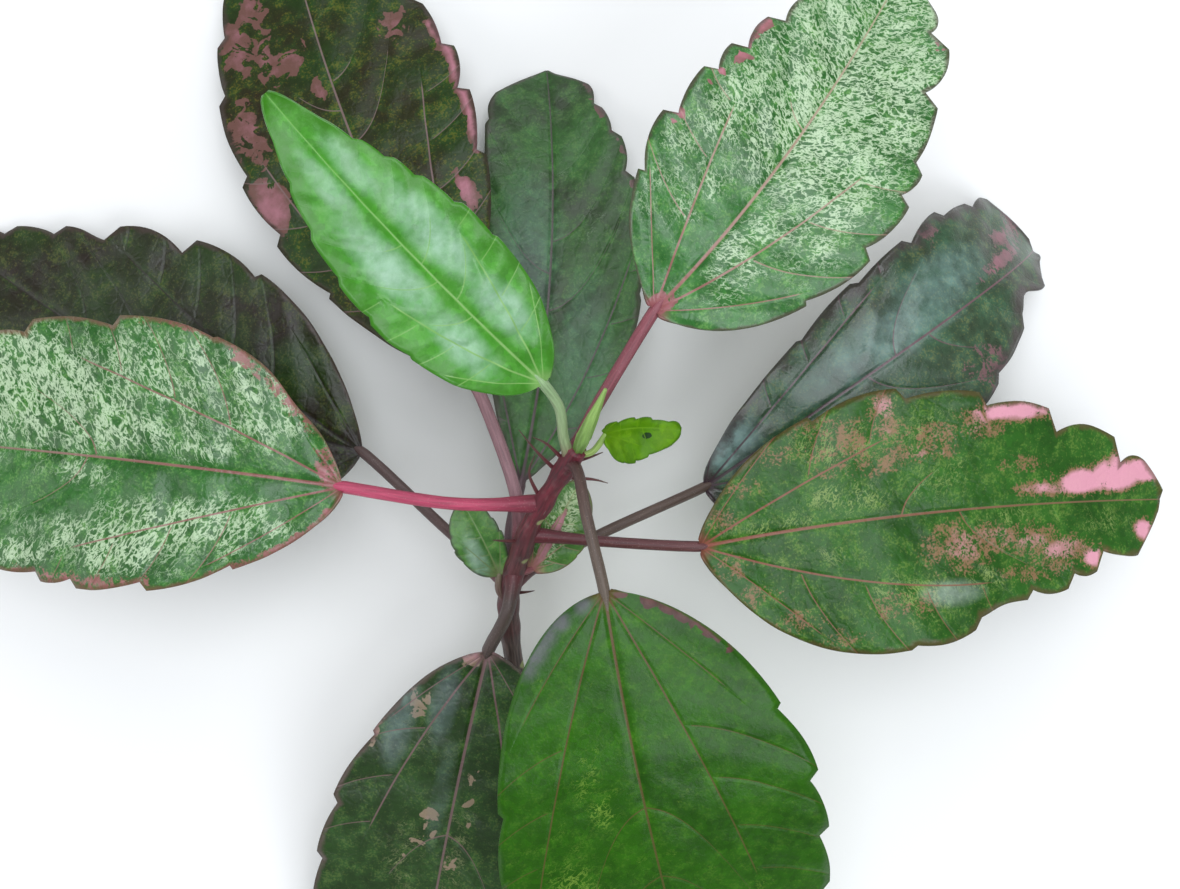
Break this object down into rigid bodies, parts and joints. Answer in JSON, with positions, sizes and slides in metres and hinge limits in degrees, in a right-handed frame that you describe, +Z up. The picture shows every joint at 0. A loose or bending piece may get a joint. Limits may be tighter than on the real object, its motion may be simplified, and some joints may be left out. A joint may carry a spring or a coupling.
{
  "type": "variegated hibiscus shoot",
  "caption": "Cut leafy shoot of a variegated hibiscus lying on a table: a rising woody stem with stipules, toothed leaves on slender stalks and a folded bud at its tip.",
  "frame": {"origin": "centre of the shoot's footprint, on the table it lies on", "axes": "+Z up from the table, +Y the way the stem's tip points, +X to the right of the tip"},
  "size_m": [0.2584, 0.2498, 0.0941],
  "materials": {
    "stem_bark": "young red-brown bark, satin",
    "old_leaf": "dark green leaf with a waxy gloss",
    "marbled_leaf": "green leaf marbled with cream, waxy gloss",
    "rosy_leaf": "green leaf with pink and brown patches, waxy gloss",
    "young_leaf": "bright green young leaf, waxy gloss",
    "bud_green": "pale green folded leaves, satin"
  },
  "bodies": {
    "root": {"stem": "stem_bark", "leaf_back_left": "old_leaf", "leaf_young_long": "young_leaf", "leaf_back_middle": "old_leaf", "leaf_marbled_back": "marbled_leaf", "leaf_right_under": "old_leaf", "leaf_rosy_tip": "rosy_leaf", "leaf_front_broad": "young_leaf", "leaf_front_left": "old_leaf", "leaf_marbled_left": "marbled_leaf", "leaf_left_under": "old_leaf", "side_leaf_left": "old_leaf", "side_leaf_right": "rosy_leaf", "leaf_newest": "young_leaf", "bud": "bud_green"}
  },
  "joints": []
}
